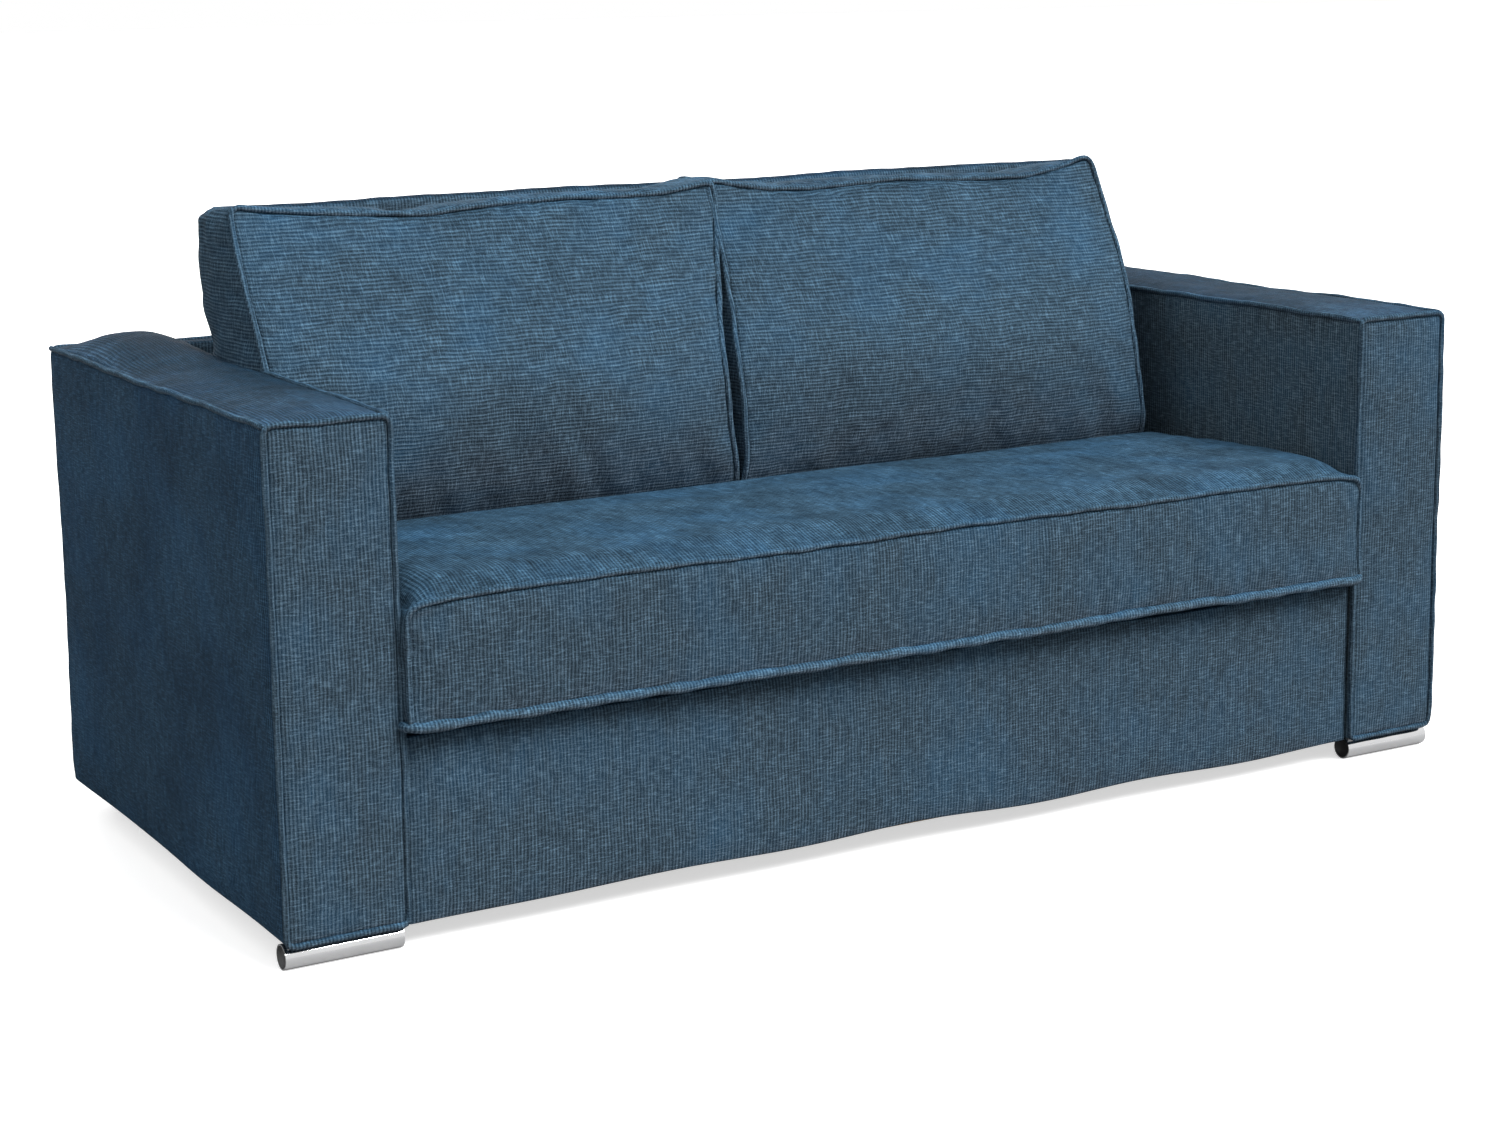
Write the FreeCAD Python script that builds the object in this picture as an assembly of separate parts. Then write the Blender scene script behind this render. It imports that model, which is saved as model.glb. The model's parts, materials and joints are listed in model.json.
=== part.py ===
import FreeCAD, Part
import math
import os

# A three-seat sofa that opens into a double bed.  Millimetres, +Z up.
# While it is modelled, y is measured back from the front face of the arms;
# save() moves everything so that the origin is under the middle of the sofa, on the floor.
# The bed is four hinged sections.  Closed, the head section lies in the base, the seat section lies
# on it upside down and carries the seat cushion, the back section stands up behind and carries the
# back cushions, and the foot section is folded down behind the back section.

WIDTH = 1880.0            # over the arms
DEPTH = 870.0             # arms, front to back
ARM_WIDTH = 162.0
ARM_HEIGHT = 680.0
FOOT_HEIGHT = 36.0        # underside of the arms
BACK_HEIGHT = 676.0       # fixed back between the arms
CUSHION_TOP = 892.0       # top of the back cushions
SEAT_OVERHANG = 20.0      # seat cushion's front, ahead of the arms

INNER = WIDTH / 2 - ARM_WIDTH    # half of the width between the arms
COVER = 6.0                      # fabric and padding on the boards
BOARD = 12.0
WELD = 25.0                      # square steel tube of the bed frames
TUBE_WALL = 2.0
RAIL_OUT = 740.0                 # outer face of the bed frames' side rails
MATTRESS_HALF = 700.0            # half of the mattress width
SLAT_THICK = 10.0
SLAT_WIDE = 60.0

# Fixed panels
PANEL_FRONT, PANEL_REAR = 8.0, 30.0
PANEL_LOW, PANEL_TOP = 32.0, 275.0
BACK_FRONT, BACK_REAR = 838.0, 870.0
RAIL_LOW, RAIL_HIGH = 37.0, 92.0

# Lifting links
LINK_LENGTH = 184.7
LINK_REST = math.radians(-17.7)
LINK_HALF_WIDTH = 15.0
LINK_IN, LINK_OUT = 752.0, 758.0
BASE_PIVOT_Z = 166.0
BASE_PIVOTS_Y = (180.0, 480.0)
PIN_R = 6.0
BORE_R = 6.05
COLLAR_R = 11.0
HEAD_R = 9.0

# Fold lines between the sections, as (y, z)
HEAD_FOLD = (45.0, 190.0)
BACK_FOLD = (677.0, 270.0)
FOLD_EAR_R = 12.0

# Head section
HEAD_LOW = 98.0
HEAD_FRONT, HEAD_REAR = 80.0, 745.0
HEAD_PAD_FRONT = 58.0
HEAD_PAD_TOP = 188.0

# Seat section
SEAT_LOW = 257.0
SEAT_FRONT, SEAT_REAR = 50.0, 655.0
SEAT_PAD_LOW = 192.0
SEAT_PAD_FRONT, SEAT_PAD_REAR = 48.0, 675.0
CUSHION_LOW = 284.0
CUSHION_SEAM = 436.0
CUSHION_CREST = 462.0
CUSHION_REST = 452.0
CUSHION_REAR = 600.0
CUSHION_HALF = 774.0

# Back section
BACK_FRAME_FRONT = 665.0
BACK_FRAME_LOW, BACK_FRAME_TOP = 290.0, 878.0
BACK_PAD_LOW, BACK_PAD_TOP = 272.0, 668.0
PAD_THICK = 65.0
FOOT_FOLD_Z = 670.0
FOOT_PAD_THICK = 62.0
FOOT_PAD_LENGTH = 213.0

# Fold-out legs on the seat section
LEG_R = 11.0
LEG_Y, LEG_Z = 630.0, 299.0
LEG_PIVOT_X = 690.0
LEG_REACH = 301.0
LEG_TAIL = 10.0
GLIDE = 12.0

PARTS = "parts"
ORIGIN = FreeCAD.Vector(0, (SEAT_OVERHANG - DEPTH) / 2, 0)


def vec(x, y, z):
    return FreeCAD.Vector(x, y, z)


def box(x, y, z):
    """A box from three (low, high) pairs."""
    return Part.makeBox(x[1] - x[0], y[1] - y[0], z[1] - z[0], vec(x[0], y[0], z[0]))


def rod_x(radius, x, y, z):
    return Part.makeCylinder(radius, x[1] - x[0], vec(x[0], y, z), vec(1, 0, 0))


def rod_y(radius, x, y, z):
    return Part.makeCylinder(radius, y[1] - y[0], vec(x, y[0], z), vec(0, 1, 0))


def rod_z(radius, x, y, z):
    return Part.makeCylinder(radius, z[1] - z[0], vec(x, y, z[0]), vec(0, 0, 1))


def joined(shapes):
    whole = shapes[0]
    for shape in shapes[1:]:
        whole = whole.fuse(shape)
    return whole.removeSplitter()


def mirrored(shape):
    return shape.mirror(vec(0, 0, 0), vec(1, 0, 0))


def both_sides(shapes):
    return shapes + [mirrored(shape) for shape in shapes]


def save(name, shapes):
    """Writes one node: a solid, or a group of separate solids."""
    shape = shapes[0] if len(shapes) == 1 else Part.makeCompound(shapes)
    shape = shape.copy()
    shape.translate(ORIGIN)
    shape.exportStep(os.path.join(PARTS, name + ".step"))


def save_sides(name, shapes):
    """The right-hand node as modelled, and its mirror image as the left-hand one."""
    save("right_" + name, shapes)
    save("left_" + name, [mirrored(shape) for shape in shapes])


def plate(points, x):
    """A flat plate across X, from its outline as (y, z) points."""
    corners = [vec(x[0], y, z) for y, z in points]
    face = Part.Face(Part.makePolygon(corners + corners[:1]))
    return face.extrude(vec(x[1] - x[0], 0, 0))


def tangent_plate(eye, corners, x):
    """A hinge plate: the outline round an eye at the fold and the corners where it is welded on."""
    steps = 24
    outline = list(corners)
    for step in range(steps):
        turn = 2 * math.pi * step / steps
        outline.append((eye[0] + FOLD_EAR_R * math.cos(turn), eye[1] + FOLD_EAR_R * math.sin(turn)))
    return plate(convex(outline), x)


def convex(points):
    """The convex outline of some (y, z) points, anticlockwise."""
    ordered = sorted(set(points))
    halves = []
    for run in (ordered, ordered[::-1]):
        half = []
        for point in run:
            while len(half) > 1 and turn_of(half[-2], half[-1], point) <= 1e-9:
                half.pop()
            half.append(point)
        halves.append(half[:-1])
    return halves[0] + halves[1]


def turn_of(a, b, c):
    return (b[0] - a[0]) * (c[1] - a[1]) - (b[1] - a[1]) * (c[0] - a[0])


def tube_x(x, y_low, z_low):
    """A square tube along X."""
    outer = box(x, (y_low, y_low + WELD), (z_low, z_low + WELD))
    inside = box(x, (y_low + TUBE_WALL, y_low + WELD - TUBE_WALL), (z_low + TUBE_WALL, z_low + WELD - TUBE_WALL))
    return outer.cut(inside)


def side_tube(y, z):
    """A square tube along Y or Z, as the right-hand rail of a bed frame."""
    outer = box((RAIL_OUT - WELD, RAIL_OUT), y, z)
    in_x = (RAIL_OUT - WELD + TUBE_WALL, RAIL_OUT - TUBE_WALL)
    if y[1] - y[0] > z[1] - z[0]:
        inside = box(in_x, y, (z[0] + TUBE_WALL, z[1] - TUBE_WALL))
    else:
        inside = box(in_x, (y[0] + TUBE_WALL, y[1] - TUBE_WALL), z)
    return outer.cut(inside)


# ---- fixed structure ----

def cover(x, y, z, underside):
    """A padded fabric cover over boards; its underside is how thick the fabric is below, or 0 if it is open."""
    outer = box(x, y, z)
    rounded = outer.makeFillet(COVER - 1, [e for e in outer.Edges if e.BoundBox.ZMax > z[0] + 1])
    floor = z[0] + underside if underside else z[0] - 1
    inside = box((x[0] + COVER, x[1] - COVER), (y[0] + COVER, y[1] - COVER), (floor, z[1] - COVER))
    return rounded.cut(inside)


def make_arms():
    x = (INNER, WIDTH / 2)
    underside = 2.0
    save_sides("arm_cover", [cover(x, (0, DEPTH), (FOOT_HEIGHT, ARM_HEIGHT), underside)])
    low = FOOT_HEIGHT + underside
    top = ARM_HEIGHT - COVER
    y = (COVER, DEPTH - COVER)
    inner = (x[0] + COVER, x[0] + COVER + BOARD)
    outer = (x[1] - COVER - BOARD, x[1] - COVER)
    save_sides("arm_inner_board", [box(inner, y, (low, top))])
    save_sides("arm_outer_board", [box(outer, y, (low, top))])
    save_sides("arm_top_board", [box((inner[1], outer[0]), y, (top - BOARD, top))])
    stud_depth = 28.0
    last = y[1] - stud_depth
    studs = []
    for start in (y[0], (y[0] + last) / 2, last):
        studs.append(box((inner[1], outer[0]), (start, start + stud_depth), (low, top - BOARD)))
    save_sides("arm_studs", studs)


def make_fixed_panels():
    gap = 0.5
    x = (-INNER + gap, INNER - gap)
    inside_x = (x[0] + COVER, x[1] - COVER)
    save("back_cover", [cover(x, (BACK_FRONT, BACK_REAR), (FOOT_HEIGHT, BACK_HEIGHT), 0)])
    back_y = (BACK_FRONT + COVER, BACK_REAR - COVER)
    save("back_board", [box(inside_x, back_y, (FOOT_HEIGHT + 2, BACK_HEIGHT - COVER))])
    save("front_panel_cover", [cover(x, (PANEL_FRONT, PANEL_REAR), (PANEL_LOW, PANEL_TOP), 0)])
    panel_y = (PANEL_FRONT + COVER, PANEL_REAR - COVER)
    save("front_panel_board", [box(inside_x, panel_y, (PANEL_LOW + 2, PANEL_TOP - COVER))])
    rail_depth = 30.0
    front_rail = (PANEL_REAR + 4, PANEL_REAR + 4 + rail_depth)
    rear_rail = (BACK_FRONT - 4 - rail_depth, BACK_FRONT - 4)
    save("front_cross_rail", [box((-INNER, INNER), front_rail, (RAIL_LOW, RAIL_HIGH))])
    save("rear_cross_rail", [box((-INNER, INNER), rear_rail, (RAIL_LOW, RAIL_HIGH))])
    sheet = 2.0
    save("dust_cover", [box((-INNER + 2, INNER - 2), (front_rail[0], rear_rail[1]), (RAIL_LOW - sheet, RAIL_LOW))])


def make_feet():
    """Chrome tubes under the fronts of the arms, and round plastic feet under the backs."""
    tube_r = 16.5
    wall = 2.0
    tube_x = (INNER + 4, WIDTH / 2)
    y = 22.0
    tube = rod_x(tube_r, tube_x, y, tube_r).cut(rod_x(tube_r - wall, tube_x, y, tube_r))
    plate_low = 2 * tube_r - 0.6
    flat = box((tube_x[0] + 6, tube_x[1] - 6), (y - 13, y + 13), (plate_low, FOOT_HEIGHT))
    save_sides("front_foot", [tube.cut(flat)])
    # the mounting plate is bedded slightly into the tube
    plates = both_sides([flat])
    save("front_foot_plates", plates)
    plug_depth = 10.0
    recess = 5.0
    plugs = []
    for start in (tube_x[0] + recess, tube_x[1] - recess - plug_depth):
        plugs.append(rod_x(tube_r - wall - 0.05, (start, start + plug_depth), y, tube_r))
    save("front_foot_plugs", both_sides(plugs))
    rear_r = 25.0
    inset = 62.0
    foot = Part.makeCone(rear_r - 5, rear_r, FOOT_HEIGHT - 6, vec(WIDTH / 2 - inset, DEPTH - inset, 0))
    pad = box((INNER + 30, WIDTH / 2 - 30), (DEPTH - 100, DEPTH - 24), (FOOT_HEIGHT - 6, FOOT_HEIGHT))
    save_sides("rear_foot", [joined([foot, pad])])


# ---- lifting mechanism ----

def link_tip(y):
    """Where a link at rest, pivoted at y on the base, meets the head section."""
    return y + LINK_LENGTH * math.cos(LINK_REST), BASE_PIVOT_Z + LINK_LENGTH * math.sin(LINK_REST)


def stepped_pin(plate_x, far_x, y, z):
    """A shouldered pivot pin: a collar on the plate, a shaft through the link, and a head past it."""
    clearance = 0.4
    head = 3.0
    if far_x > plate_x:
        collar = rod_x(COLLAR_R, (plate_x, LINK_IN - clearance), y, z)
        shaft = rod_x(PIN_R, (LINK_IN - clearance, LINK_OUT + clearance), y, z)
        cap = rod_x(HEAD_R, (LINK_OUT + clearance, LINK_OUT + clearance + head), y, z)
    else:
        collar = rod_x(COLLAR_R, (LINK_OUT + clearance, plate_x), y, z)
        shaft = rod_x(PIN_R, (LINK_IN - clearance, LINK_OUT + clearance), y, z)
        cap = rod_x(HEAD_R, (LINK_IN - clearance - head, LINK_IN - clearance), y, z)
    return joined([collar, shaft, cap])


def make_base_plates():
    plate_thick = 4.0
    x = (INNER - plate_thick, INNER)
    y = (130.0, 760.0)
    z = (116.0, 196.0)
    bolt_places = ((160.0, 136.0), (160.0, 176.0), (330.0, 156.0), (560.0, 156.0), (730.0, 136.0), (730.0, 176.0))
    steel = box(x, y, z)
    heads = []
    for bolt_y, bolt_z in bolt_places:
        hole = rod_x(4.2, (x[0] - 1, x[1] + 1), bolt_y, bolt_z)
        steel = steel.cut(hole)
        shank = rod_x(4.0, (x[0], x[1]), bolt_y, bolt_z)
        head = rod_x(8.0, (x[0] - 4, x[0]), bolt_y, bolt_z)
        heads.append(joined([shank, head]))
    save_sides("side_plate", [steel])
    save("side_plate_bolts", both_sides(heads))
    pins = [stepped_pin(x[0], LINK_IN, pivot, BASE_PIVOT_Z) for pivot in BASE_PIVOTS_Y]
    save("base_pins", both_sides(pins))


def link_bar(pivot):
    """A flat bar with rounded ends and a bore at each end."""
    tip_y, tip_z = link_tip(pivot)
    x = (LINK_IN, LINK_OUT)
    ends = [rod_x(LINK_HALF_WIDTH, x, pivot, BASE_PIVOT_Z), rod_x(LINK_HALF_WIDTH, x, tip_y, tip_z)]
    bar = box(x, (0, LINK_LENGTH), (-LINK_HALF_WIDTH, LINK_HALF_WIDTH))
    bar.rotate(vec(0, 0, 0), vec(1, 0, 0), math.degrees(LINK_REST))
    bar.translate(vec(0, pivot, BASE_PIVOT_Z))
    whole = joined([bar] + ends)
    for y, z in ((pivot, BASE_PIVOT_Z), (tip_y, tip_z)):
        whole = whole.cut(rod_x(BORE_R, (x[0] - 1, x[1] + 1), y, z))
    return whole


def make_links():
    for name, pivot in zip(("front_link", "rear_link"), BASE_PIVOTS_Y):
        save_sides(name, [link_bar(pivot)])


# ---- bed sections ----

def flat_slats(low, high, z, count):
    """Slats across the bed, spread evenly along Y between two cross tubes."""
    pitch = (high - low) / count
    half = RAIL_OUT - WELD
    slats = []
    for index in range(count):
        middle = low + pitch * (index + 0.5)
        slats.append(box((-half, half), (middle - SLAT_WIDE / 2, middle + SLAT_WIDE / 2), z))
    return slats


def make_head_section():
    z = (HEAD_LOW, HEAD_LOW + WELD)
    half = RAIL_OUT - WELD
    middle = (HEAD_FRONT + HEAD_REAR - WELD) / 2
    save("head_side_rails", both_sides([side_tube((HEAD_FRONT, HEAD_REAR), z)]))
    crossings = (HEAD_FRONT, middle, HEAD_REAR - WELD)
    save("head_cross_tubes", [tube_x((-half, half), y, HEAD_LOW) for y in crossings])
    slat_z = (z[1] - SLAT_THICK, z[1])
    slats = flat_slats(HEAD_FRONT + WELD, middle, slat_z, 3)
    slats += flat_slats(middle + WELD, HEAD_REAR - WELD, slat_z, 3)
    save("head_slats", slats)
    weld_corners = [(84.0, z[0]), (135.0, z[0]), (135.0, z[1])]
    bracket = tangent_plate(HEAD_FOLD, weld_corners, (RAIL_OUT, 745.0))
    save("head_hinge_brackets", both_sides([bracket]))
    pins = []
    for pivot in BASE_PIVOTS_Y:
        tip_y, tip_z = link_tip(pivot)
        pins.append(stepped_pin(RAIL_OUT, LINK_OUT, tip_y, tip_z))
    shaft = rod_x(PIN_R, (745.0, 750.4), *HEAD_FOLD)
    cap = rod_x(HEAD_R, (750.4, 752.4), *HEAD_FOLD)
    pins.append(joined([shaft, cap]))
    save("head_pins", both_sides(pins))
    pad = box((-MATTRESS_HALF, MATTRESS_HALF), (HEAD_PAD_FRONT, HEAD_REAR), (z[1], HEAD_PAD_TOP))
    save("head_mattress", [pad])


def seat_cushion_profile(shrink):
    """The seat cushion's outline across its depth, drawn in by shrink on every side."""
    front = -SEAT_OVERHANG + shrink
    rear = CUSHION_REAR - shrink
    low = CUSHION_LOW + shrink
    flat_from = 390.0
    corners = [vec(0, flat_from, CUSHION_REST - shrink), vec(0, rear, CUSHION_REST - shrink)]
    corners += [vec(0, rear, low), vec(0, front, low), vec(0, front, CUSHION_SEAM - shrink)]
    edges = [Part.LineSegment(a, b).toShape() for a, b in zip(corners, corners[1:])]
    crest = vec(0, 170.0, CUSHION_CREST - shrink)
    edges.append(Part.Arc(corners[-1], crest, corners[0]).toShape())
    return Part.Face(Part.Wire(edges))


def across(face, x):
    """A profile face drawn out along X."""
    moved = face.copy()
    moved.translate(vec(x[0], 0, 0))
    return moved.extrude(vec(x[1] - x[0], 0, 0))


def make_seat_section():
    z = (SEAT_LOW, SEAT_LOW + WELD)
    half = RAIL_OUT - WELD
    rear_tube = 620.0
    middle = (SEAT_FRONT + rear_tube) / 2
    save("seat_side_rails", both_sides([side_tube((SEAT_FRONT, SEAT_REAR), z)]))
    tubes = [tube_x((-half, half), y, SEAT_LOW) for y in (SEAT_FRONT, middle)]
    lug_y = (rear_tube + WELD, rear_tube + WELD + 5)
    lug_half = 15.0
    lug_x = (LEG_PIVOT_X - lug_half, LEG_PIVOT_X + lug_half)
    pivot_pin = rod_y(5.0, LEG_PIVOT_X, (LEG_Y - LEG_R - 0.5, lug_y[0] + 1), LEG_Z)
    pin_head = rod_y(8.0, LEG_PIVOT_X, (LEG_Y - LEG_R - 3.0, LEG_Y - LEG_R - 0.5), LEG_Z)
    lug = joined([box(lug_x, lug_y, (SEAT_LOW, LEG_Z + 12)), pivot_pin, pin_head])
    save("seat_cross_tubes", tubes + [tube_x((-half, half), rear_tube, SEAT_LOW), lug, mirrored(lug)])
    slat_z = (z[0], z[0] + SLAT_THICK)
    slats = flat_slats(SEAT_FRONT + WELD, middle, slat_z, 3)
    slats += flat_slats(middle + WELD, rear_tube, slat_z, 3)
    save("seat_slats", slats)
    eye_x = (746.0, 750.0)
    weld_corners = [(66.0, z[1]), (112.0, z[1]), (112.0, z[0])]
    bracket = tangent_plate(HEAD_FOLD, weld_corners, eye_x)
    spacer = box((RAIL_OUT, eye_x[0]), (68.0, 110.0), (z[0] + 1, z[1] - 1))
    bore = rod_x(BORE_R, (eye_x[0] - 1, eye_x[1] + 1), *HEAD_FOLD)
    save("seat_hinge_brackets", both_sides([joined([bracket, spacer]).cut(bore)]))
    ear = tangent_plate(BACK_FOLD, [(600.0, z[0]), (600.0, z[1])], (RAIL_OUT, 744.0))
    save("seat_hinge_ears", both_sides([ear]))
    shaft = rod_x(PIN_R, (744.0, 749.4), *BACK_FOLD)
    cap = rod_x(HEAD_R, (749.4, 751.4), *BACK_FOLD)
    save("seat_hinge_pins", both_sides([joined([shaft, cap])]))
    pad_y = (SEAT_PAD_FRONT, SEAT_PAD_REAR)
    save("seat_mattress", [box((-MATTRESS_HALF, MATTRESS_HALF), pad_y, (SEAT_PAD_LOW, SEAT_LOW))])
    save("seat_cushion", make_cover(seat_cushion_profile, (-CUSHION_HALF, CUSHION_HALF)))
    save("seat_cushion_core", make_core(seat_cushion_profile, (-CUSHION_HALF, CUSHION_HALF)))


CUSHION_COVER = 5.0
CORE_GAP = 1.0


def make_cover(profile, x):
    outer = across(profile(0.0), x)
    inner = across(profile(CUSHION_COVER), (x[0] + CUSHION_COVER, x[1] - CUSHION_COVER))
    return [outer.cut(inner)]


def make_core(profile, x):
    inset = CUSHION_COVER + CORE_GAP
    return [across(profile(inset), (x[0] + inset, x[1] - inset))]


BACK_CUSHION_REAR = 660.0
BACK_CUSHION_LOW = CUSHION_REST + 2.5
BACK_CUSHION_FRONT = 390.0
BACK_CUSHION_TOP_FRONT = 538.0
LEFT_CUSHION_X = (-776.0, -60.0)
RIGHT_CUSHION_X = (-56.0, 692.0)


def back_cushion_profile(shrink):
    """A wedge: upright behind, thick at the bottom, its front face leaning and curving back to the top."""
    rear = BACK_CUSHION_REAR - shrink
    low = BACK_CUSHION_LOW + shrink
    top = CUSHION_TOP - shrink
    front = BACK_CUSHION_FRONT + shrink
    straight_to = 560.0
    corners = [vec(0, BACK_CUSHION_TOP_FRONT + shrink, top), vec(0, rear, top), vec(0, rear, low)]
    corners += [vec(0, front, low), vec(0, front, straight_to)]
    edges = [Part.LineSegment(a, b).toShape() for a, b in zip(corners, corners[1:])]
    swell = vec(0, 428.0 + shrink, 728.0)
    edges.append(Part.Arc(corners[-1], swell, corners[0]).toShape())
    return Part.Face(Part.Wire(edges))


def back_slats(low, high, count):
    pitch = (high - low) / count
    half = RAIL_OUT - WELD
    rear = BACK_FRAME_FRONT + WELD
    slats = []
    for index in range(count):
        middle = low + pitch * (index + 0.5)
        z = (middle - SLAT_WIDE / 2, middle + SLAT_WIDE / 2)
        slats.append(box((-half, half), (rear - SLAT_THICK, rear), z))
    return slats


def make_back_section():
    y = (BACK_FRAME_FRONT, BACK_FRAME_FRONT + WELD)
    half = RAIL_OUT - WELD
    low_tube, mid_tube, top_tube = 330.0, 590.0, BACK_FRAME_TOP - WELD
    save("back_side_rails", both_sides([side_tube(y, (BACK_FRAME_LOW, BACK_FRAME_TOP))]))
    save("back_cross_tubes", [tube_x((-half, half), y[0], z) for z in (low_tube, mid_tube, top_tube)])
    slats = back_slats(low_tube + WELD, mid_tube, 2) + back_slats(mid_tube + WELD, top_tube, 2)
    save("back_slats", slats)
    eye_x = (745.0, 749.0)
    weld_corners = [(y[0] + 1, 345.0), (y[1] - 1, 345.0)]
    ear = tangent_plate(BACK_FOLD, weld_corners, eye_x)
    spacer = box((RAIL_OUT, eye_x[0]), (y[0] + 2, y[1] - 2), (312.0, 343.0))
    bore = rod_x(BORE_R, (eye_x[0] - 1, eye_x[1] + 1), *BACK_FOLD)
    save("back_hinge_ears", both_sides([joined([ear, spacer]).cut(bore)]))
    pad_y = (y[1], y[1] + PAD_THICK)
    mattress_x = (-MATTRESS_HALF, MATTRESS_HALF)
    save("back_mattress", [box(mattress_x, pad_y, (BACK_PAD_LOW, BACK_PAD_TOP))])
    wall = 3.0
    outer = box((-748.0, 748.0), (y[0] - 4, y[1] + wall - 0.5), (680.0, CUSHION_TOP - 6))
    inside = box((-RAIL_OUT - 1, RAIL_OUT + 1), (y[0] - 1, y[1]), (670.0, BACK_FRAME_TOP + 1))
    lining = box((-748.0, 748.0), (y[0] - 4, y[0] - 1), (462.0, 681.0))
    save("back_sleeve", [joined([outer.cut(inside), lining])])
    save("back_cushion_left", make_cover(back_cushion_profile, LEFT_CUSHION_X))
    save("back_cushion_right", make_cover(back_cushion_profile, RIGHT_CUSHION_X))
    cores = make_core(back_cushion_profile, LEFT_CUSHION_X)
    cores += make_core(back_cushion_profile, RIGHT_CUSHION_X)
    save("back_cushion_cores", cores)


def make_foot_section():
    """Folded down behind the back section; its fold line is at the top of the back mattress."""
    fold_y = BACK_FRAME_FRONT + WELD + PAD_THICK + 1
    y = (fold_y + 1, fold_y + 1 + FOOT_PAD_THICK)
    z = (FOOT_FOLD_Z - 2 - FOOT_PAD_LENGTH, FOOT_FOLD_Z - 2)
    save("foot_mattress", [box((-MATTRESS_HALF, MATTRESS_HALF), y, z)])


def make_legs():
    """Each leg lies along X behind the seat cushion, pivots about Y and swings square to the section."""
    x = (LEG_PIVOT_X - LEG_REACH, LEG_PIVOT_X + LEG_TAIL)
    bore = rod_y(5.05, LEG_PIVOT_X, (LEG_Y - LEG_R - 1, LEG_Y + LEG_R + 1), LEG_Z)
    leg = rod_x(LEG_R, x, LEG_Y, LEG_Z).cut(bore)
    hollow = rod_x(LEG_R - TUBE_WALL, (x[0], LEG_PIVOT_X - 30), LEG_Y, LEG_Z)
    save_sides("bed_leg", [leg.cut(hollow)])
    glide = rod_x(LEG_R + 2, (x[0] - GLIDE, x[0]), LEG_Y, LEG_Z)
    save_sides("bed_leg_glide", [glide])


def main():
    os.makedirs(PARTS, exist_ok=True)
    make_arms()
    make_fixed_panels()
    make_feet()
    make_base_plates()
    make_links()
    make_head_section()
    make_seat_section()
    make_back_section()
    make_foot_section()
    make_legs()


main()
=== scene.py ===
"""Looks of the fold-out sofa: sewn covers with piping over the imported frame, and all materials.

Lengths are metres. +X is the viewer's right, +Y goes from the front to the back and +Z up.
"""

import json
import math

import bpy
import numpy as np
from mathutils import Matrix, Vector


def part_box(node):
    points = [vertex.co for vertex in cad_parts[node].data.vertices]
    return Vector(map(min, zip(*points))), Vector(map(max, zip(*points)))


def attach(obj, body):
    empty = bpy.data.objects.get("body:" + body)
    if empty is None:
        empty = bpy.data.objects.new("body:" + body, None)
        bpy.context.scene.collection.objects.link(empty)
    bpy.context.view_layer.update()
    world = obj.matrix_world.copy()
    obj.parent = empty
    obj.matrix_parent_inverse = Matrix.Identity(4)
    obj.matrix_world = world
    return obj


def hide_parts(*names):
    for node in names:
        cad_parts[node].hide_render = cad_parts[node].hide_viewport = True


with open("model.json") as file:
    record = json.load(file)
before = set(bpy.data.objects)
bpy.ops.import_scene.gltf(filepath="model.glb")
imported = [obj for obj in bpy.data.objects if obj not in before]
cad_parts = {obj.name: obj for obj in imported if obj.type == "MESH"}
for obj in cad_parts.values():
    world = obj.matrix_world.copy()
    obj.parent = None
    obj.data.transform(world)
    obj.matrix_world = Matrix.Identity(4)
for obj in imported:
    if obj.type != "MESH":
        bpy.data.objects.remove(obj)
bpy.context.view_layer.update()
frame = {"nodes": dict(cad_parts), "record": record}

# Sewing, the same on every cover
PIPING = 0.0042  # radius of the cord sewn into a seam
THICK_PIPING = 0.0070  # radius of the cord along the bottom of the seat cushion
PIPING_SIDES = 10
PIPING_STEP = 0.007
SEAM_LOOPS = (0.0, 0.004, 0.010, 0.019)  # the first rows of cells, measured from a seam
SEAM_DEPTH = 0.0015  # how far past its cord a piped seam pulls the cover in
TIGHT_SEAM_DEPTH = -0.0010  # the same over boards, which leave less room
SEAM_ROLL = 0.018  # how far from a seam a stretched panel reaches its full height

# Stuffing
PRESSURE = 4.0
CLOTH_FRAMES = 20
CLOTH_SHRINK = -0.012  # negative: the fabric grows a little
CLOTH_BENDING = 0.3
SWELL = 0.010  # the furthest that the stuffing moves a cushion's fabric

# Tight covers over boards
TAUT = 0.004  # how far the fabric stands proud in the middle of a panel
PANEL_GAP = 0.004  # how far the front panel stays off each arm
ARM_HUMP = {"left": 0.024, "right": 0.007}  # the soft rise near the back of each arm's top


# ---------------------------------------------------------------- sewn covers


def ripple(points, wavelength, seed, count=7):
    """Smooth, seeded unevenness of about -1 to 1 at each point."""
    chance = np.random.default_rng(seed)
    ways = chance.normal(size=(count, 3))
    ways /= np.linalg.norm(ways, axis=1)[:, None]
    lengths = wavelength * chance.uniform(0.7, 1.5, count)
    phases = chance.uniform(0, 2 * math.pi, count)
    waves = np.sin(points @ (ways * (2 * math.pi / lengths)[:, None]).T + phases)
    return waves.sum(axis=1) / math.sqrt(count)


def smooth_step(value, low, high):
    """0 below low, 1 above high, and a smooth rise between them."""
    t = np.clip((value - low) / (high - low), 0, 1)
    return t * t * (3 - 2 * t)


def ticks(low, high, cell):
    """Places of the rows of cells along one side of a panel: even, and closer beside its seams."""
    near = [low + loop for loop in SEAM_LOOPS if loop < (high - low) / 3]
    far = [low + high - place for place in reversed(near)]
    count = max(1, round((far[0] - near[-1]) / cell))
    between = list(np.linspace(near[-1], far[0], count + 1)[1:-1])
    return near + between + far


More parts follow.
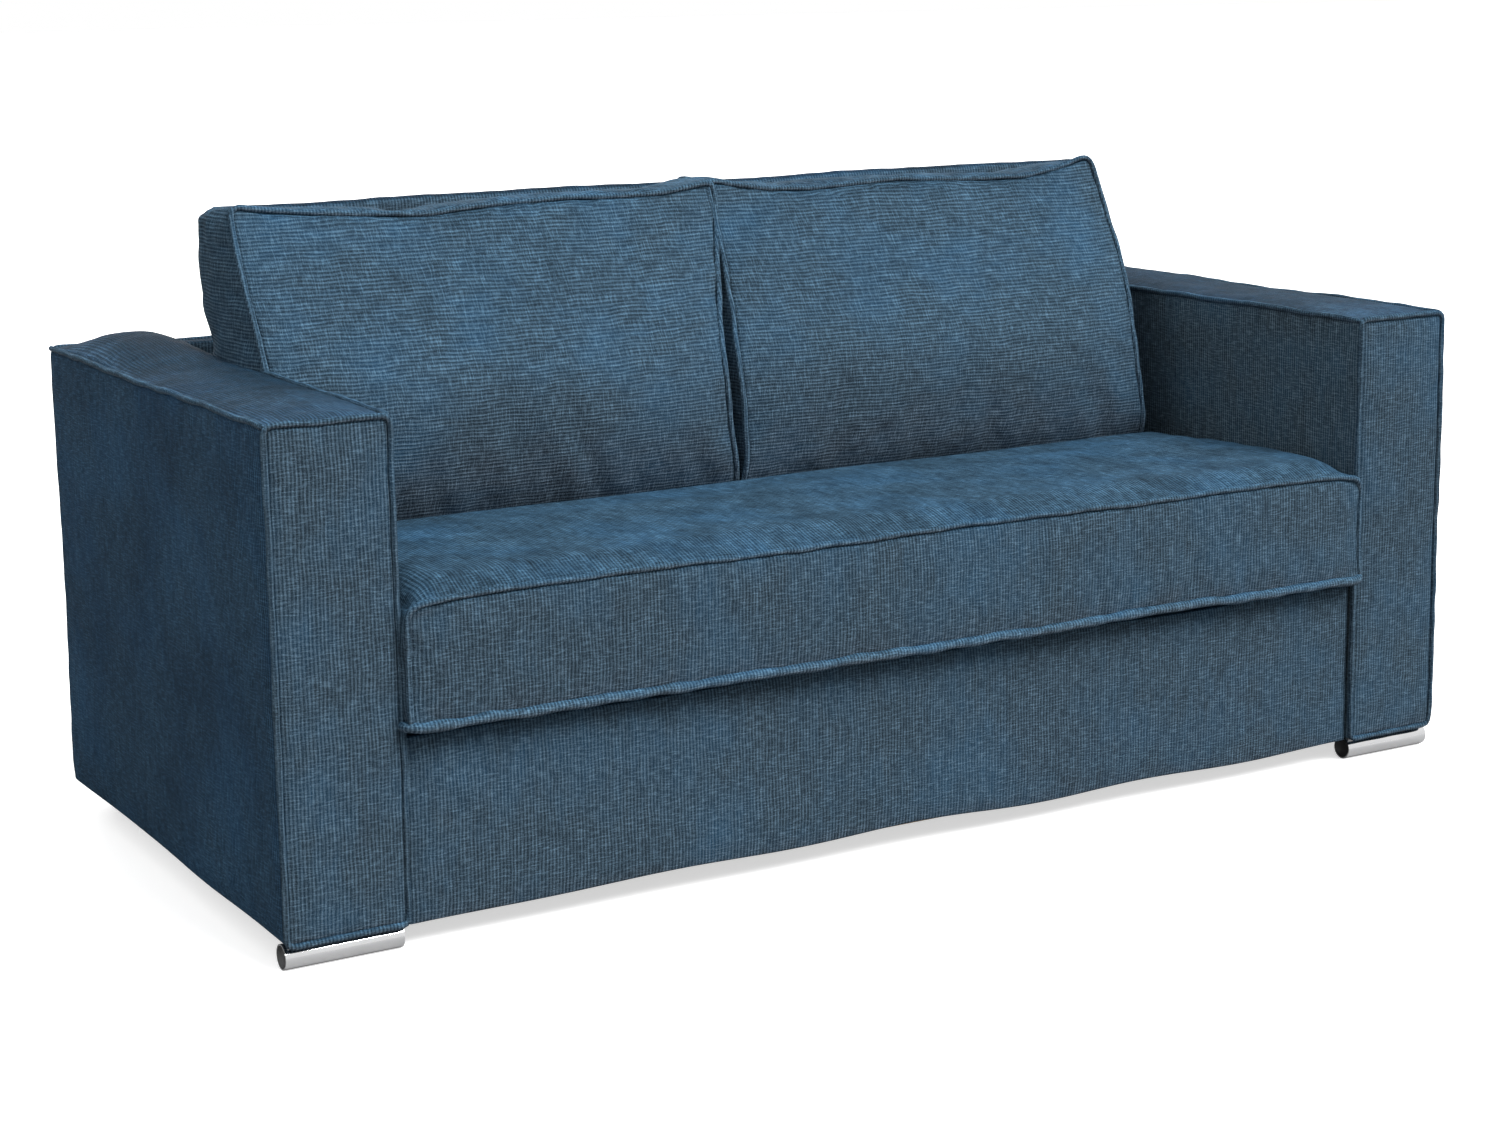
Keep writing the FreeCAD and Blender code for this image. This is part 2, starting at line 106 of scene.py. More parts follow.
class Cover:
    """A closed cover of six panels, whose grids of cells share the vertices of the twelve seams.

    box_points stay where the plain box has them, and points are shaped.
    """

    def __init__(self, low, high, cell):
        self.low = np.array(low)
        self.high = np.array(high)
        self.rows = [ticks(near, far, cell) for near, far in zip(low, high)]
        self.keys = {}
        self.faces = []
        for axis in range(3):
            self.add_panel(axis, 0)
            self.add_panel(axis, len(self.rows[axis]) - 1)
        places = [[row[i] for row, i in zip(self.rows, key)] for key in self.keys]
        self.box_points = np.array(places)
        self.points = self.box_points.copy()
        self.tucked = set()

    def add_panel(self, axis, end):
        """Adds the cells of the panel at one end of an axis, facing outwards."""
        across, along = (axis + 1) % 3, (axis + 2) % 3
        for i in range(len(self.rows[across]) - 1):
            for j in range(len(self.rows[along]) - 1):
                cell = []
                for p, q in ((i, j), (i + 1, j), (i + 1, j + 1), (i, j + 1)):
                    key = [0, 0, 0]
                    key[axis], key[across], key[along] = end, p, q
                    cell.append(self.keys.setdefault(tuple(key), len(self.keys)))
                self.faces.append(cell if end else cell[::-1])

    def on_panel(self, axis, end):
        """Which vertices lie on the panel at the low (0) or high (1) end of an axis."""
        wanted = (self.low, self.high)[end][axis]
        return np.isclose(self.box_points[:, axis], wanted)

    def seam_distance(self, axis):
        """Each vertex's distance along an axis to the nearer of the two seams across it."""
        place = self.box_points[:, axis]
        return np.minimum(place - self.low[axis], self.high[axis] - place)

    def fraction(self, axis):
        """Each vertex's place along an axis, from 0 to 1."""
        return (self.box_points[:, axis] - self.low[axis]) / (self.high[axis] - self.low[axis])

    def stretch(self, axis, end, height, roll=SEAM_ROLL):
        """Raises a panel by height, from nothing at its seams."""
        across, along = (axis + 1) % 3, (axis + 2) % 3
        rise = np.tanh(self.seam_distance(across) / roll)
        rise *= np.tanh(self.seam_distance(along) / roll)
        self.points[:, axis] += (1 if end else -1) * height * rise * self.on_panel(axis, end)

    def crown(self, axis, end, height, power=2.6):
        """Raises a panel like a pillow, highest in the middle."""
        across, along = (axis + 1) % 3, (axis + 2) % 3
        rise = 1 - np.abs(2 * self.fraction(across) - 1) ** power
        rise *= 1 - np.abs(2 * self.fraction(along) - 1) ** power
        self.points[:, axis] += (1 if end else -1) * height * rise * self.on_panel(axis, end)

    def pucker(self, height, seed, reach=0.030, wavelength=0.034):
        """Gathers the fabric a little beside every seam, where the stitches hold it."""
        for axis in range(3):
            across, along = (axis + 1) % 3, (axis + 2) % 3
            near = np.minimum(self.seam_distance(across), self.seam_distance(along))
            depth = (near / reach) * np.exp(1 - near / reach)
            rise = height * depth * ripple(self.box_points, wavelength, seed + axis)
            for end in (0, 1):
                self.points[:, axis] += rise * self.on_panel(axis, end)

    def wander(self, amount, wavelength, seed):
        """Moves the whole cover unevenly, seams and all, as hand-sewn fabric sits."""
        for axis in range(3):
            self.points[:, axis] += amount * ripple(self.box_points, wavelength, seed + axis)

    def soften(self, axes, ends, radius):
        """Rounds the edge between two panels, by one radius or by one for each vertex."""
        centre, sign = [], []
        for axis, end in zip(axes, ends):
            sign.append(1 if end else -1)
            centre.append((self.low, self.high)[end][axis] - sign[-1] * radius)
        off = [s * (self.box_points[:, axis] - c) for s, axis, c in zip(sign, axes, centre)]
        inside = (off[0] > 0) & (off[1] > 0)
        square = np.maximum(off[0], off[1])
        pull = square / np.maximum(np.hypot(off[0], off[1]), 1e-9) - 1
        for s, axis, distance in zip(sign, axes, off):
            self.points[:, axis] += np.where(inside, s * distance * pull, 0)

    def seam(self, axis, ends):
        """The vertices of one seam, from the low end of its axis to the high one.

        ends are the ends (0 or 1) of the two other axes, in x, y, z order.
        """
        others = [other for other in range(3) if other != axis]
        chain = []
        for i in range(len(self.rows[axis])):
            key = [i, i, i]
            for other, end in zip(others, ends):
                key[other] = end * (len(self.rows[other]) - 1)
            chain.append(self.keys[tuple(key)])
        return chain

    def loop(self, axis, end):
        """The vertices of the four seams round one panel, in order."""
        first, second = [other for other in range(3) if other != axis]

        def side(along, other_end):
            ends = {axis: end, (second if along == first else first): other_end}
            return self.seam(along, [ends[key] for key in sorted(ends)])

        chain = side(first, 0) + side(second, 1)[1:]
        chain += side(first, 1)[::-1][1:] + side(second, 0)[::-1][1:-1]
        return chain

    def outwards(self, chain):
        """The way out from the cover's middle at each vertex of a seam, across the seam."""
        places = self.box_points[chain]
        way = np.isclose(places, self.high).astype(float) - np.isclose(places, self.low)
        return way / np.linalg.norm(way, axis=1)[:, None]

    def tuck(self, chain, depth):
        """Pulls a seam in by a depth, once, so that the panels roll over it from both sides."""
        fresh = [vertex for vertex in chain if vertex not in self.tucked]
        self.points[fresh] -= self.outwards(fresh) * depth
        self.tucked.update(fresh)

    def seam_vertices(self):
        """Every vertex that lies on a seam."""
        count = sum(self.on_panel(axis, 0) | self.on_panel(axis, 1) for axis in range(3))
        return [int(i) for i in np.nonzero(count >= 2)[0]]


def new_mesh(name, points, faces):
    """A smooth-shaded mesh object in the scene."""
    mesh = bpy.data.meshes.new(name)
    mesh.from_pydata([tuple(point) for point in points], [], faces)
    mesh.polygons.foreach_set("use_smooth", [True] * len(mesh.polygons))
    mesh.update()
    made = bpy.data.objects.new(name, mesh)
    bpy.context.scene.collection.objects.link(made)
    return made


def read_points(mesh):
    """A mesh's vertices as an array."""
    flat = np.empty(len(mesh.vertices) * 3)
    mesh.vertices.foreach_get("co", flat)
    return flat.reshape(-1, 3)


def stuff(cover, name, cap):
    """Swells a cover by cloth simulation: its seams are held, and no vertex moves beyond the cap."""
    cloth_piece = new_mesh(name + "_cloth", cover.points, cover.faces)
    held = cloth_piece.vertex_groups.new(name="seams")
    held.add(cover.seam_vertices(), 1.0, "REPLACE")
    cloth = cloth_piece.modifiers.new("cloth", "CLOTH")
    cloth.settings.use_pressure = True
    cloth.settings.uniform_pressure_force = PRESSURE
    cloth.settings.vertex_group_mass = "seams"
    cloth.settings.effector_weights.gravity = 0
    cloth.settings.shrink_min = CLOTH_SHRINK
    cloth.settings.bending_stiffness = CLOTH_BENDING
    cloth.point_cache.frame_start = 1
    cloth.point_cache.frame_end = CLOTH_FRAMES
    scene = bpy.context.scene
    for number in range(1, CLOTH_FRAMES + 1):
        scene.frame_set(number)
    result = cloth_piece.evaluated_get(bpy.context.evaluated_depsgraph_get())
    moved = read_points(result.data) - cover.points
    length = np.linalg.norm(moved, axis=1)
    limited = cap * np.tanh(length / cap) / np.maximum(length, 1e-9)
    cover.points = cover.points + moved * limited[:, None]
    scene.frame_set(1)
    bpy.data.objects.remove(cloth_piece)


def subdivided(piece, levels):
    """Applies a subdivision surface to a piece."""
    modifier = piece.modifiers.new("subdivision", "SUBSURF")
    modifier.levels = levels
    modifier.render_levels = levels
    result = piece.evaluated_get(bpy.context.evaluated_depsgraph_get())
    mesh = bpy.data.meshes.new_from_object(result)
    piece.modifiers.clear()
    old = piece.data
    piece.data = mesh
    bpy.data.meshes.remove(old)


def dress(piece, material, body, nodes=()):
    """Gives a piece its material and its body, and hides the CAD nodes that it stands for."""
    piece.data.materials.clear()
    piece.data.materials.append(material)
    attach(piece, body)
    if nodes:
        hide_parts(*nodes)
    return piece


def sewn(cover, name, material, body, nodes=(), levels=1):
    """Makes a cover into a piece."""
    piece = new_mesh(name, cover.points, cover.faces)
    if levels:
        subdivided(piece, levels)
    return dress(piece, material, body, nodes)


# ---------------------------------------------------------------- piping


def even_path(points, closed, step):
    """The same path with evenly spaced points and slightly rounded corners."""
    path = np.array(points)
    if closed:
        path = np.vstack([path, path[:1]])
    lengths = np.linalg.norm(np.diff(path, axis=0), axis=1)
    along = np.concatenate([[0], np.cumsum(lengths)])
    count = max(4, round(along[-1] / step))
    wanted = np.linspace(0, along[-1], count + 1)
    even = np.column_stack([np.interp(wanted, along, path[:, axis]) for axis in range(3)])
    if closed:
        even = even[:-1]
    for _ in range(2):
        before, after = np.roll(even, 1, axis=0), np.roll(even, -1, axis=0)
        rounded = 0.25 * before + 0.5 * even + 0.25 * after
        if not closed:
            rounded[0], rounded[-1] = even[0], even[-1]
        even = rounded
    return even


def tube(path, radii, closed):
    """Vertices and faces of a round tube along a path; an open one has closed, tapered ends."""
    count = len(path)
    if closed:
        forward = np.roll(path, -1, axis=0) - np.roll(path, 1, axis=0)
    else:
        forward = np.gradient(path, axis=0)
    forward /= np.linalg.norm(forward, axis=1)[:, None]
    side = np.cross(forward[0], (0.31, 0.52, 0.79))
    points = []
    for place, ahead, radius in zip(path, forward, radii):
        side = side - ahead * side.dot(ahead)
        side /= np.linalg.norm(side)
        other = np.cross(ahead, side)
        for k in range(PIPING_SIDES):
            turn = 2 * math.pi * k / PIPING_SIDES
            points.append(place + radius * (math.cos(turn) * side + math.sin(turn) * other))
    faces = []
    for ring in range(count if closed else count - 1):
        this, following = ring * PIPING_SIDES, ((ring + 1) % count) * PIPING_SIDES
        for k in range(PIPING_SIDES):
            after = (k + 1) % PIPING_SIDES
            faces.append((this + k, this + after, following + after, following + k))
    if not closed:
        faces.append(tuple(range(PIPING_SIDES))[::-1])
        faces.append(tuple((count - 1) * PIPING_SIDES + k for k in range(PIPING_SIDES)))
    return points, faces


def piping(
    cover,
    name,
    chain,
    slot,
    body,
    closed=False,
    radius=PIPING,
    proud=0.1,
    depth=SEAM_DEPTH,
    seed=1,
    cloth=None,
):
    """A covered cord sewn into a seam of a cover that isn't a piece yet.

    The cord stands proud of the seam by a share of its radius, and the seam is then pulled in by
    its radius and a depth. Its cloth is the usual one for the slot, unless another is named.
    """
    path = cover.points[chain] + cover.outwards(chain) * radius * proud
    path = even_path(path, closed, PIPING_STEP)
    path[:, 0] += 0.0007 * ripple(path, 0.06, seed)
    path[:, 2] += 0.0009 * ripple(path, 0.08, seed + 1)
    radii = radius * (1 + 0.07 * ripple(path, 0.045, seed + 2))
    if not closed:
        radii[0] = radii[-1] = radius * 0.5
    points, faces = tube(path, radii, closed)
    cover.tuck(chain, radius + depth)
    return dress(new_mesh(name, points, faces), FINISHES[cloth or PIPING_CLOTH[slot]], body)


# ---------------------------------------------------------------- materials


class Finish:
    """One procedural material, built node by node from numbers, tuples and other nodes' sockets."""

    def __init__(self, name, roughness, metallic=0.0):
        self.material = bpy.data.materials.new(name)
        self.material.use_nodes = True
        self.tree = self.material.node_tree
        self.shader = self.tree.nodes["Principled BSDF"]
        self.shader.inputs["Metallic"].default_value = metallic
        self.shader.inputs["Roughness"].default_value = roughness
        coordinates = self.tree.nodes.new("ShaderNodeTexCoord")
        self.place = coordinates.outputs["Object"]
        self.facing = coordinates.outputs["Normal"]

    def put(self, socket, value):
        """Links or sets one input."""
        if isinstance(value, bpy.types.NodeSocket):
            self.tree.links.new(value, socket)
        else:
            socket.default_value = value

    def sums(self, operation, first, second=0.0, third=0.0):
        """A maths node."""
        node = self.tree.nodes.new("ShaderNodeMath")
        node.operation = operation
        for socket, value in zip(node.inputs, (first, second, third)):
            self.put(socket, value)
        return node.outputs[0]

    def split(self, vector):
        """A vector's three parts."""
        node = self.tree.nodes.new("ShaderNodeSeparateXYZ")
        self.put(node.inputs[0], vector)
        return node.outputs[0], node.outputs[1], node.outputs[2]

    def join(self, x, y, z):
        """A vector from three parts."""
        node = self.tree.nodes.new("ShaderNodeCombineXYZ")
        for socket, value in zip(node.inputs, (x, y, z)):
            self.put(socket, value)
        return node.outputs[0]

    def noise(self, vector, scale, detail=2.0, roughness=0.5):
        """Cloudy noise, 0 to 1."""
        node = self.tree.nodes.new("ShaderNodeTexNoise")
        self.put(node.inputs["Vector"], vector)
        self.put(node.inputs["Scale"], scale)
        self.put(node.inputs["Detail"], detail)
        self.put(node.inputs["Roughness"], roughness)
        return node.outputs["Fac"]

    def cells(self, vector, scale):
        """A random colour for each cell of a Voronoi pattern."""
        node = self.tree.nodes.new("ShaderNodeTexVoronoi")
        self.put(node.inputs["Vector"], vector)
        self.put(node.inputs["Scale"], scale)
        return node.outputs["Color"]

    def fit(self, value, low, high, to_low=0.0, to_high=1.0):
        """Maps a range of values to another one and holds it at the ends."""
        node = self.tree.nodes.new("ShaderNodeMapRange")
        for name, number in (
            ("Value", value),
            ("From Min", low),
            ("From Max", high),
            ("To Min", to_low),
            ("To Max", to_high),
        ):
            self.put(node.inputs[name], number)
        return node.outputs[0]

    def mix(self, factor, first, second, way="MIX"):
        """A mix of two colours."""
        node = self.tree.nodes.new("ShaderNodeMix")
        node.data_type = "RGBA"
        node.blend_type = way
        for number, value in ((0, factor), (6, first), (7, second)):
            self.put(node.inputs[number], value)
        return node.outputs[2]

    def colour(self, value):
        """Sets the base colour."""
        self.put(self.shader.inputs["Base Color"], value)

    def rough(self, value):
        """Sets the roughness."""
        self.put(self.shader.inputs["Roughness"], value)

    def bump(self, height, depth, strength=1.0):
        """Adds surface relief of a depth in metres."""
        node = self.tree.nodes.new("ShaderNodeBump")
        self.put(node.inputs["Height"], height)
        self.put(node.inputs["Distance"], depth)
        self.put(node.inputs["Strength"], strength)
        self.put(self.shader.inputs["Normal"], node.outputs[0])

    def across_surface(self):
        """Two places in metres along the surface, and a number for which of three ways it faces.

        A panel that faces sideways is measured along Y and Z, one that faces up along X and Y,
        and one that faces the front along X and Z.
        """
        x, y, z = self.split(self.place)
        nx, ny, nz = [self.sums("ABSOLUTE", part) for part in self.split(self.facing)]
        sideways = self.sums("GREATER_THAN", nx, self.sums("MAXIMUM", ny, nz))
        upwards = self.sums("GREATER_THAN", nz, self.sums("MAXIMUM", nx, ny))
        first = self.sums("MULTIPLY_ADD", sideways, self.sums("SUBTRACT", y, x), x)
        second = self.sums("MULTIPLY_ADD", upwards, self.sums("SUBTRACT", y, z), z)
        return first, second, self.sums("MULTIPLY_ADD", sideways, 3.0, upwards)

    def stretched(self, periods):
        """The place on the object, in periods along X, Y and Z."""
        parts = self.split(self.place)
        return self.join(*[self.sums("DIVIDE", part, size) for part, size in zip(parts, periods)])

    def figure(self, first, second, size):
        """A small figure: two sine waves that cross each other."""
        waves = [self.sums("SINE", self.sums("DIVIDE", place, size)) for place in (first, second)]
        return self.sums("MULTIPLY", *waves)


def grey(level):
    """A neutral colour."""
    return (level, level, level, 1)


DARK_YARN = (0.006, 0.011, 0.017, 1)
PALE_YARN = (0.113, 0.194, 0.272, 1)
BLUE_YARN = (0.006, 0.027, 0.056, 1)
RIB_PITCH = 0.0050

# Sizes of the weave's streaks, across and along its ribs
CORD_STREAKS = (0.0027, 0.034)
SLUB_STREAKS = (0.018, 0.0023)
FUZZ = (0.0017, 0.0017)
DYE_STREAKS = (0.012, 0.050)
PILE_MARKS = (0.009, 0.030)

# Painted light and shade: tints of the pile by the way that a panel faces, in place of its sheen and of
# the light that falls on it
PAINTED_LIGHT_FACING_DOWN = (1.30, 1.06, 0.98, 1)
PAINTED_LIGHT_FACING_AHEAD = (1.0, 0.96, 0.94, 1)
PAINTED_LIGHT_LEANING_BACK = (0.90, 0.97, 1.0, 1)
PAINTED_SHADE_FACING_UP = (0.64, 0.83, 0.93, 1)
# Painted sheen and shade of the upholstery: upper panels paler at their front end and darker behind it,
# outer sides darker, inner sides paler
PAINTED_SHEEN_FRONT = (0.47, 0.68, 0.84, 1)
PAINTED_SHADE_REAR = (0.14, 0.26, 0.34, 1)
PAINTED_SHADE_OUTER_DARK = (0.38, 0.53, 0.68, 1)
PAINTED_SHADE_OUTER_PALE = (0.66, 0.86, 1.02, 1)
PAINTED_LIGHT_INNER_SIDE = (1.45, 1.25, 1.12, 1)


def yarn_places(made, turned):
    """The places across and along the ribs, which sway a little, and the way the surface faces."""
    first, second, side = made.across_surface()
    sway = made.noise(made.place, 14.0, 2.0)
    first = made.sums("MULTIPLY_ADD", sway, 0.006, first)
    second = made.sums("MULTIPLY_ADD", sway, 0.008, second)
    if turned:
        first, second = second, first
    return first, second, side


def streaks(made, places, sizes, offset):
    """Noise drawn out to two sizes across and along the ribs; each offset gives another pattern."""
    first, second, side = places
    where = made.join(
        made.sums("DIVIDE", first, sizes[0]),
        made.sums("DIVIDE", second, sizes[1]),
        made.sums("ADD", side, offset),
    )
    return made.noise(where, 1.0, 2.0, 0.6)


def weave_height(made, places):
    """The relief of the weave: ribs, paler slub yarns across them, and fuzz."""
    upright = streaks(made, places, CORD_STREAKS, 10.0)
    level = streaks(made, places, SLUB_STREAKS, 20.0)
    fuzz = streaks(made, places, FUZZ, 30.0)
    rib_place = made.sums("DIVIDE", places[0], RIB_PITCH / (2 * math.pi))
    rib_turn = made.sums("MULTIPLY_ADD", upright, 3.0, rib_place)
    rib = made.sums("MULTIPLY_ADD", made.sums("SINE", rib_turn), 0.5, 0.5)
    cord = made.fit(upright, 0.34, 0.66)
    slub = made.fit(level, 0.46, 0.68)
    weave = made.sums("MULTIPLY", rib, made.sums("MULTIPLY_ADD", cord, 0.26, 0.17))
    weave = made.sums("MULTIPLY_ADD", slub, 0.29, weave)
    return made.sums("MULTIPLY_ADD", made.fit(fuzz, 0.25, 0.75), 0.34, weave)


def painted_light_by_facing(made, upwards):
    """Painted light and shade: the tint of the pile by how far up a panel faces, in place of its sheen
    and the light on it.
    """
    tint = made.mix(made.fit(upwards, -0.30, -0.03), PAINTED_LIGHT_FACING_DOWN, PAINTED_LIGHT_FACING_AHEAD)
    tint = made.mix(made.fit(upwards, 0.0, 0.40), tint, PAINTED_LIGHT_LEANING_BACK)
    return made.mix(made.fit(upwards, 0.45, 0.90), tint, PAINTED_SHADE_FACING_UP)


def painted_sheen_and_shade(made, tint, patches, sideways, upwards):
    """Painted sheen and shade: the tint with upper panels paler at their front end and darker behind
    it, the outer sides painted darker and mottled, and the inner sides painted paler.
    """
    x, y, _ = made.split(made.place)
    behind = made.fit(made.sums("MULTIPLY_ADD", patches, 0.30, y), -0.30, -0.06)
    upper = made.mix(behind, PAINTED_SHEEN_FRONT, PAINTED_SHADE_REAR)
    tint = made.mix(made.fit(upwards, 0.6, 0.9), tint, upper)
    outward = made.sums("MULTIPLY", sideways, x)
    mottle = made.fit(made.noise(made.place, 4.5, 5.0, 0.7), 0.36, 0.64)
    outer_side = made.mix(mottle, PAINTED_SHADE_OUTER_DARK, PAINTED_SHADE_OUTER_PALE)
    tint = made.mix(made.fit(outward, 0.3, 0.7), tint, outer_side)
    return made.mix(made.fit(outward, -0.3, -0.6), tint, PAINTED_LIGHT_INNER_SIDE)


def pile_level(made, places, upwards, shade):
    """How pale the pile is from place to place, with more contrast on panels that face up."""
    marks = streaks(made, places, PILE_MARKS, 50.0)
    marks = made.sums("MULTIPLY", marks, made.fit(upwards, 0.3, 0.9, 0.5, 1.3))
    level = made.sums("ADD", marks, made.fit(upwards, 0.3, 0.9, 0.75, 0.35))
    strokes = made.noise(made.place, 13.0, 4.0, 0.65)
    strokes = made.fit(strokes, 0.36, 0.64, -0.30, 0.34)
    strokes = made.sums("MULTIPLY_ADD", made.fit(upwards, 0.5, 0.9), strokes, 1.0)
    level = made.sums("MULTIPLY", level, strokes)
    # a shade above 1 is a painted highlight, used for piping cords
    return made.sums("MULTIPLY", level, shade)


def woven_fabric(name, turned=False, painted_shade=False, shade=1.0):
    """Corded chenille: fine ribs one way, broken by paler slub yarns the other way.

    Turned fabric has its ribs level. Panels that face up, down or sideways get painted light and shade
    in place of the pile's sheen, and where asked, the upper panels are painted darker away from their
    front end, the outer sides darker and the inner sides paler. A shade above 1 paints the whole fabric
    paler, a painted highlight for piping cords.
    """
    made = Finish(name, roughness=0.88)
    places = yarn_places(made, turned)
    weave = weave_height(made, places)
    pale = made.sums("POWER", made.fit(weave, 0.06, 0.98), 1.3)
    patches = made.noise(made.place, 7.0, 2.5, 0.5)
    dye = made.sums("MULTIPLY_ADD", streaks(made, places, DYE_STREAKS, 40.0), 0.3, patches)
    ground = made.mix(made.fit(dye, 0.58, 0.90), DARK_YARN, BLUE_YARN)
    yarn = made.mix(pale, ground, PALE_YARN)
    sideways, _, upwards = made.split(made.facing)
    # painted light and shade by the way each panel faces
    tint = painted_light_by_facing(made, upwards)
    # painted sheen on upper panels, painted shade on outer sides and painted light on inner sides
    if painted_shade:
        tint = painted_sheen_and_shade(made, tint, patches, sideways, upwards)
    level = pile_level(made, places, upwards, shade)
    tint = made.mix(1.0, tint, made.join(level, level, level), "MULTIPLY")
    made.colour(made.mix(1.0, yarn, tint, "MULTIPLY"))
    made.bump(weave, 0.0018, 0.8)
    made.shader.inputs["Sheen Weight"].default_value = 0.04
    made.shader.inputs["Sheen Roughness"].default_value = 0.5
    made.shader.inputs["Sheen Tint"].default_value = (0.22, 0.60, 1.0, 1)
    made.shader.inputs["Specular IOR Level"].default_value = 0.07
    return made.material


def ticking():
    """Pale knitted mattress cover with a small raised figure."""
    made = Finish("mattress ticking", roughness=0.85)
    first, second, side = made.across_surface()
    figure = made.figure(first, second, 0.0045)
    stitch_columns = made.sums("DIVIDE", first, 0.0011)
    stitch_rows = made.sums("DIVIDE", second, 0.0022)
    knit = made.noise(made.join(stitch_columns, stitch_rows, side), 1.0, 2.0)
    soil = made.noise(made.place, 6.0, 4.0)
    height = made.sums("MULTIPLY_ADD", figure, 0.5, knit)
    tone = made.mix(made.fit(height, 0.1, 0.9), (0.22, 0.213, 0.195, 1), (0.37, 0.365, 0.345, 1))
    made.colour(made.mix(made.fit(soil, 0.3, 0.7, 0.0, 0.25), tone, (0.28, 0.262, 0.23, 1)))
    made.bump(height, 0.0008, 0.6)
    made.shader.inputs["Sheen Weight"].default_value = 0.15
    return made.material


def grained_wood(name, pale, dark, stretch):
    """Wood with its grain along the longest of the three stretches."""
    made = Finish(name, roughness=0.55)
    where = made.stretched(stretch)
    rings = made.noise(where, 1.0, 5.0, 0.62)
    pores = made.noise(where, 5.0, 2.0, 0.7)
    grain = made.sums("MULTIPLY_ADD", pores, 0.35, rings)
    made.colour(made.mix(made.fit(grain, 0.5, 0.95), pale, dark))
    made.rough(made.fit(pores, 0.3, 0.7, 0.42, 0.62))
    made.bump(grain, 0.0004, 0.5)
    return made.material


def chipboard():
    """Pressed wood chips in their natural colours."""
    made = Finish("chipboard", roughness=0.8)
    chips = made.cells(made.place, 240.0)
    tone = made.split(chips)[0]
    made.colour(made.mix(tone, (0.52, 0.37, 0.20, 1), (0.30, 0.19, 0.09, 1)))
    made.bump(tone, 0.0003, 0.6)
    return made.material


def felt():
    """Thin black non-woven sheet with a dimpled bond pattern."""
    made = Finish("dust cover", roughness=0.95)
    first, second, _ = made.across_surface()
    dots = made.figure(first, second, 0.0006)
    fibres = made.noise(made.place, 420.0, 3.0, 0.7)
    height = made.sums("MULTIPLY_ADD", dots, 0.4, fibres)
    made.colour(made.mix(fibres, (0.012, 0.012, 0.013, 1), (0.05, 0.05, 0.052, 1)))
    made.bump(height, 0.0004, 0.6)
    return made.material


def chrome():
    """Polished plating with faint wiping marks."""
    made = Finish("chrome", roughness=0.08, metallic=1.0)
    marks = made.noise(made.stretched((0.12, 0.004, 0.004)), 1.0, 3.0)
    cloud = made.noise(made.place, 22.0, 3.0)
    made.colour(made.mix(cloud, (0.80, 0.81, 0.82, 1), (0.90, 0.90, 0.91, 1)))
    made.rough(made.fit(made.sums("MULTIPLY", marks, cloud), 0.1, 0.5, 0.05, 0.20))
    made.bump(marks, 0.0001, 0.15)
    return made.material


def zinc():
    """Zinc-plated steel: clouded, with fine drawing lines."""
    made = Finish("zinc steel", roughness=0.38, metallic=1.0)
    cloud = made.noise(made.place, 60.0, 4.0, 0.6)
    lines = made.noise(made.stretched((0.05, 0.0012, 0.0012)), 1.0, 2.0)
    made.colour(made.mix(cloud, (0.46, 0.47, 0.49, 1), (0.68, 0.69, 0.69, 1)))
    made.rough(made.fit(cloud, 0.3, 0.7, 0.28, 0.46))
    made.bump(lines, 0.0002, 0.3)
    return made.material


def powder_coat():
    """Dark powder-coated tube, with its fine orange peel and rubbed patches."""
    made = Finish("painted steel", roughness=0.42)
    peel = made.noise(made.place, 900.0, 2.0)
    wear = made.noise(made.place, 28.0, 5.0, 0.65)
    worn = made.fit(wear, 0.45, 0.75)
    made.colour(made.mix(worn, (0.045, 0.048, 0.052, 1), (0.085, 0.088, 0.094, 1)))
    made.rough(made.fit(wear, 0.35, 0.7, 0.34, 0.52))
    made.bump(peel, 0.0003, 0.35)
    return made.material


def moulded_plastic():
    """Black moulded plastic with a fine spark-eroded grain."""
    made = Finish("black plastic", roughness=0.5)
    grain = made.noise(made.place, 1400.0, 2.0)
    scuff = made.noise(made.place, 70.0, 4.0, 0.7)
    scuffed = made.fit(scuff, 0.5, 0.8)
    made.colour(made.mix(scuffed, (0.016, 0.016, 0.017, 1), (0.045, 0.045, 0.047, 1)))
    made.rough(made.fit(scuff, 0.3, 0.7, 0.44, 0.62))
    made.bump(grain, 0.0002, 0.4)
    return made.material


SOFTWOOD_PALE = (0.62, 0.44, 0.25, 1)
SOFTWOOD_DARK = (0.42, 0.25, 0.11, 1)
BEECH_PALE = (0.62, 0.43, 0.26, 1)
BEECH_DARK = (0.47, 0.29, 0.15, 1)

